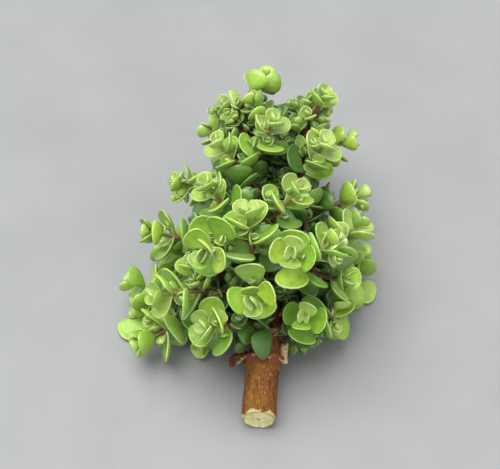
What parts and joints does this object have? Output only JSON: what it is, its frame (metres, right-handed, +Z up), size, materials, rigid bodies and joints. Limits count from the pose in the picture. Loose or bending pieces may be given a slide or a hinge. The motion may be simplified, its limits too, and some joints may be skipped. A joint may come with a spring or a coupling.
{
  "type": "dwarf jade bonsai cutting",
  "caption": "Woody cutting of a dwarf jade, lying down: a short bare trunk with a cut end, forked boughs and a dense crown of round fleshy leaves in opposite pairs.",
  "frame": {"origin": "bottom centre of the whole cutting's bounding box, on the surface that it lies on", "axes": "+Y from the trunk's cut end towards the top of the crown, +Z up, +X to the right seen from the cut end"},
  "size_m": [0.1138, 0.149, 0.0796],
  "materials": {
    "bark": "thin reddish-brown bark, fissured lengthwise, with a pale green-cream cut face",
    "leaf": "fleshy succulent leaves with a satin wax surface, mid green with thin pale yellow-green rims, on reddish-brown young stems"
  },
  "bodies": {
    "root": {"leafy_stem_01": "leaf", "leafy_stem_02": "leaf", "leafy_stem_03": "leaf", "leafy_stem_04": "leaf", "leafy_stem_05": "leaf", "leafy_stem_06": "leaf", "leafy_stem_07": "leaf", "leafy_stem_08": "leaf", "leafy_stem_09": "leaf", "leafy_stem_10": "leaf", "leafy_stem_11": "leaf", "leafy_stem_12": "leaf", "leafy_stem_13": "leaf", "leafy_stem_14": "leaf", "leafy_stem_15": "leaf", "leafy_stem_16": "leaf", "leafy_stem_17": "leaf", "leafy_stem_18": "leaf", "leafy_stem_19": "leaf", "leafy_stem_20": "leaf", "leafy_stem_21": "leaf", "leafy_stem_22": "leaf", "leafy_stem_23": "leaf", "leafy_stem_24": "leaf", "leafy_stem_25": "leaf", "leafy_stem_26": "leaf", "leafy_stem_27": "leaf", "leafy_stem_28": "leaf", "leafy_stem_29": "leaf", "leafy_stem_30": "leaf", "leafy_stem_31": "leaf", "leafy_stem_32": "leaf", "leafy_stem_33": "leaf", "leafy_stem_34": "leaf", "leafy_stem_35": "leaf", "leafy_stem_36": "leaf", "leafy_stem_37": "leaf", "leafy_stem_38": "leaf", "leafy_stem_39": "leaf", "leafy_stem_40": "leaf", "leafy_stem_41": "leaf", "leafy_stem_42": "leaf", "leafy_stem_43": "leaf", "leafy_stem_44": "leaf", "leafy_stem_45": "leaf", "leafy_stem_46": "leaf", "leafy_stem_47": "leaf", "leafy_stem_48": "leaf", "leafy_stem_49": "leaf", "leafy_stem_50": "leaf", "leafy_stem_51": "leaf", "leafy_stem_52": "leaf", "leafy_stem_53": "leaf", "resting_stem_1": "leaf", "resting_stem_2": "leaf", "resting_stem_3": "leaf", "trunk_and_boughs": "bark"}
  },
  "joints": []
}
